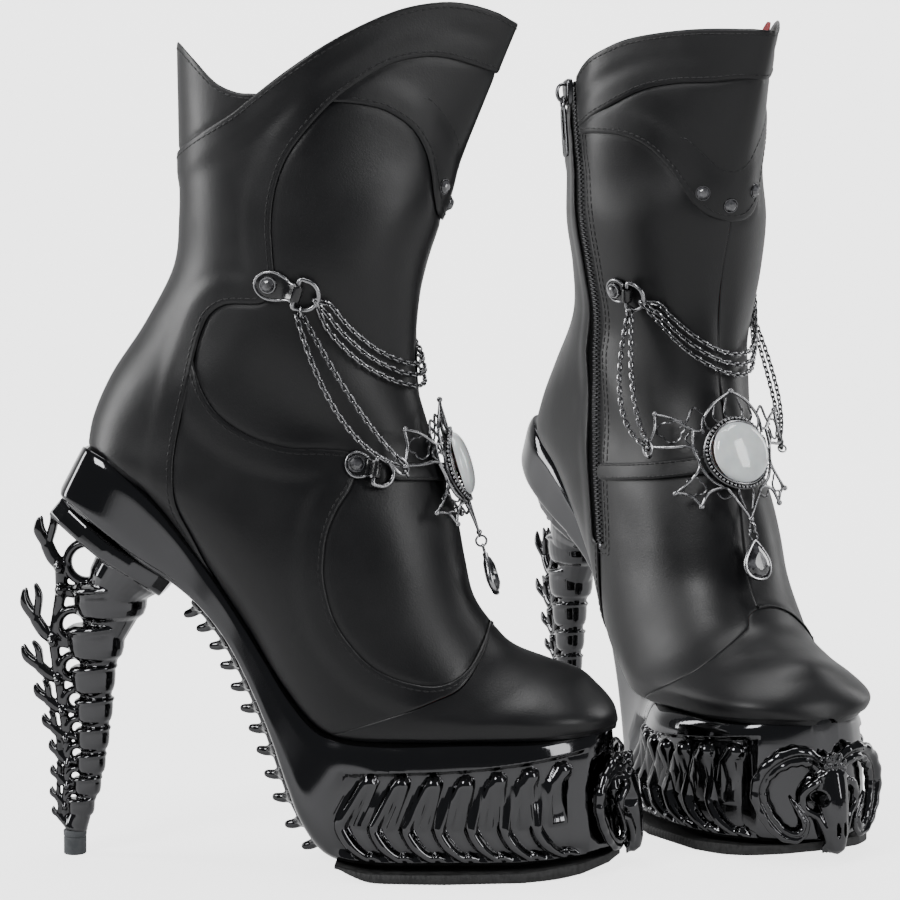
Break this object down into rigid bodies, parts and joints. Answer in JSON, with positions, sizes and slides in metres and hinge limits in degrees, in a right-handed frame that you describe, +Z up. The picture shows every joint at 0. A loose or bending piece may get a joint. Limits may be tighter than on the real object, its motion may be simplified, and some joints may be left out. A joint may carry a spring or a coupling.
{
  "type": "pair of platform ankle boots",
  "caption": "Pair of black high-heeled platform ankle boots with vertebra-shaped heels, inner zips, hanging chains and an ankle medallion.",
  "frame": {"origin": "middle of the pair's bounding box on the floor", "axes": "+Z up, the right boot's toe points near +X, the left boot's toe points between +X and -Y"},
  "size_m": [0.3394, 0.2538, 0.34],
  "materials": {
    "black_leather": "soft matte faux leather with a fine grain",
    "red_lining": "smooth matte lining",
    "black_chrome_shell": "moulded plastic with a black chrome gloss",
    "black_rubber": "matt tread rubber",
    "grey_rubber": "hard dark rubber",
    "antique_silver": "antique silver plating, darker in its hollows",
    "white_cabochon": "polished pearl-white stone",
    "smoke_crystal": "faceted smoke-coloured crystal",
    "black_zip": "black zip tape and teeth",
    "black_zip_metal": "black nickel"
  },
  "bodies": {
    "right_boot": {"right_outsole": "black_rubber", "right_platform": "black_chrome_shell", "right_toe_skull": "black_chrome_shell", "right_arch_spine": "black_chrome_shell", "right_heel_spine": "black_chrome_shell", "right_heel_tip": "grey_rubber", "right_insole": "red_lining", "right_lining": "red_lining", "right_rear_quarter": "black_leather", "right_collar_back": "black_leather", "right_yoke": "black_leather", "right_front_lateral": "black_leather", "right_front_medial": "black_leather", "right_quarter_lateral": "black_leather", "right_toe_cap": "black_leather", "right_zip_chain": "black_zip", "right_tab_upper_lateral": "antique_silver", "right_tab_upper_medial": "antique_silver", "right_tab_lower": "antique_silver", "right_strap": "black_leather"},
    "right_zip_slider": {"right_zip_slider": "black_zip_metal"},
    "right_zip_pull": {"right_zip_pull": "black_zip_metal"},
    "right_swag_chain": {"right_swag_chain": "antique_silver"},
    "right_ring_upper_lateral": {"right_ring_upper_lateral": "antique_silver"},
    "right_ring_upper_medial": {"right_ring_upper_medial": "antique_silver"},
    "right_drop_chain_lateral": {"right_drop_chain_lateral": "antique_silver"},
    "right_drop_chain_medial": {"right_drop_chain_medial": "antique_silver"},
    "right_medallion": {"right_medallion": "antique_silver", "right_cabochon": "white_cabochon"},
    "right_pendant": {"right_pendant": "smoke_crystal"},
    "left_boot": {"left_outsole": "black_rubber", "left_platform": "black_chrome_shell", "left_toe_skull": "black_chrome_shell", "left_arch_spine": "black_chrome_shell", "left_heel_spine": "black_chrome_shell", "left_heel_tip": "grey_rubber", "left_insole": "red_lining", "left_lining": "red_lining", "left_rear_quarter": "black_leather", "left_collar_back": "black_leather", "left_yoke": "black_leather", "left_front_lateral": "black_leather", "left_front_medial": "black_leather", "left_quarter_lateral": "black_leather", "left_toe_cap": "black_leather", "left_zip_chain": "black_zip", "left_tab_upper_lateral": "antique_silver", "left_tab_upper_medial": "antique_silver", "left_tab_lower": "antique_silver", "left_strap": "black_leather"},
    "left_zip_slider": {"left_zip_slider": "black_zip_metal"},
    "left_zip_pull": {"left_zip_pull": "black_zip_metal"},
    "left_swag_chain": {"left_swag_chain": "antique_silver"},
    "left_ring_upper_lateral": {"left_ring_upper_lateral": "antique_silver"},
    "left_ring_upper_medial": {"left_ring_upper_medial": "antique_silver"},
    "left_drop_chain_lateral": {"left_drop_chain_lateral": "antique_silver"},
    "left_drop_chain_medial": {"left_drop_chain_medial": "antique_silver"},
    "left_medallion": {"left_medallion": "antique_silver", "left_cabochon": "white_cabochon"},
    "left_pendant": {"left_pendant": "smoke_crystal"}
  },
  "joints": [
    {"name": "left_boot_lift", "type": "slide", "parent": "right_boot", "child": "left_boot", "axis": [0, 0, 1], "range_m": [0, 0.45]},
    {"name": "right_zip_slider_travel", "type": "slide", "parent": "right_boot", "child": "right_zip_slider", "axis": [0.1224, -0.0083, -0.9924], "range_m": [0, 0.055]},
    {"name": "right_zip_pull_swing", "type": "hinge", "parent": "right_zip_slider", "child": "right_zip_pull", "pos_m": [-0.06666, -0.03195, 0.30809], "axis": [0.9839, 0.1321, 0.1203], "range_deg": [0, 100]},
    {"name": "right_swag_swing", "type": "hinge", "parent": "right_boot", "child": "right_swag_chain", "pos_m": [-0.05006, -0.11824, 0.21553], "axis": [-0.378, -0.9252, 0.0334], "range_deg": [0, 30]},
    {"name": "right_ring_upper_lateral_swing", "type": "hinge", "parent": "right_boot", "child": "right_ring_upper_lateral", "pos_m": [-0.06196, -0.12105, 0.22509], "axis": [-0.2941, 0.1157, -0.9488], "range_deg": [0, 12]},
    {"name": "right_drop_chain_lateral_swing", "type": "hinge", "parent": "right_boot", "child": "right_drop_chain_lateral", "pos_m": [-0.06101, -0.12096, 0.2153], "axis": [-0.5709, -0.0961, 0.8154], "range_deg": [0, 20]},
    {"name": "right_ring_upper_medial_swing", "type": "hinge", "parent": "right_boot", "child": "right_ring_upper_medial", "pos_m": [-0.0369, -0.04811, 0.22209], "axis": [0.3475, 0.1448, 0.9264], "range_deg": [0, 12]},
    {"name": "right_drop_chain_medial_swing", "type": "hinge", "parent": "right_boot", "child": "right_drop_chain_medial", "pos_m": [-0.03606, -0.0486, 0.21235], "axis": [0.3428, 0.0097, -0.9394], "range_deg": [0, 20]},
    {"name": "right_medallion_tilt", "type": "hinge", "parent": "right_boot", "child": "right_medallion", "pos_m": [-0.00393, -0.08172, 0.15523], "axis": [-0.0576, -0.9983, 0], "range_deg": [0, 8]},
    {"name": "right_pendant_swing", "type": "hinge", "parent": "right_medallion", "child": "right_pendant", "pos_m": [0.00936, -0.08249, 0.12789], "axis": [-0.0576, -0.9983, 0], "range_deg": [0, 60]},
    {"name": "left_zip_slider_travel", "type": "slide", "parent": "left_boot", "child": "left_zip_slider", "axis": [0.0541, -0.1101, -0.9924], "range_m": [0, 0.055]},
    {"name": "left_zip_pull_swing", "type": "hinge", "parent": "left_zip_slider", "child": "left_zip_pull", "pos_m": [0.04789, 0.01509, 0.30809], "axis": [-0.2512, 0.9604, -0.1203], "range_deg": [0, 100]},
    {"name": "left_swag_swing", "type": "hinge", "parent": "left_boot", "child": "left_swag_chain", "pos_m": [0.13402, 0.03248, 0.21553], "axis": [-0.7125, -0.7008, -0.0334], "range_deg": [0, 30]},
    {"name": "left_ring_upper_lateral_swing", "type": "hinge", "parent": "left_boot", "child": "left_ring_upper_lateral", "pos_m": [0.1321, 0.04455, 0.22509], "axis": [0.2187, -0.2282, 0.9488], "range_deg": [0, 12]},
    {"name": "left_drop_chain_lateral_swing", "type": "hinge", "parent": "left_boot", "child": "left_drop_chain_lateral", "pos_m": [0.13238, 0.04363, 0.2153], "axis": [0.1277, -0.5646, -0.8154], "range_deg": [0, 20]},
    {"name": "left_ring_upper_medial_swing", "type": "hinge", "parent": "left_boot", "child": "left_ring_upper_medial", "pos_m": [0.07412, -0.00631, 0.22209], "axis": [0.0021, 0.3765, -0.9264], "range_deg": [0, 12]},
    {"name": "left_drop_chain_medial_swing", "type": "hinge", "parent": "left_boot", "child": "left_drop_chain_medial", "pos_m": [0.0749, -0.0069, 0.21235], "axis": [-0.1211, 0.3209, 0.9394], "range_deg": [0, 20]},
    {"name": "left_medallion_tilt", "type": "hinge", "parent": "left_boot", "child": "left_medallion", "pos_m": [0.11774, -0.02407, 0.15523], "axis": [-0.9018, -0.4321, 0], "range_deg": [0, 8]},
    {"name": "left_pendant_swing", "type": "hinge", "parent": "left_medallion", "child": "left_pendant", "pos_m": [0.12348, -0.03607, 0.12789], "axis": [-0.9018, -0.4321, 0], "range_deg": [0, 60]}
  ],
  "couplings": [
    {"joint": "right_ring_upper_lateral_swing", "follows": "right_swag_swing", "ratio": 0.39},
    {"joint": "right_ring_upper_medial_swing", "follows": "right_swag_swing", "ratio": 0.39},
    {"joint": "right_drop_chain_lateral_swing", "follows": "right_swag_swing", "ratio": 0.6},
    {"joint": "right_drop_chain_medial_swing", "follows": "right_swag_swing", "ratio": 0.6},
    {"joint": "left_ring_upper_lateral_swing", "follows": "left_swag_swing", "ratio": 0.39},
    {"joint": "left_ring_upper_medial_swing", "follows": "left_swag_swing", "ratio": 0.39},
    {"joint": "left_drop_chain_lateral_swing", "follows": "left_swag_swing", "ratio": 0.6},
    {"joint": "left_drop_chain_medial_swing", "follows": "left_swag_swing", "ratio": 0.6}
  ]
}
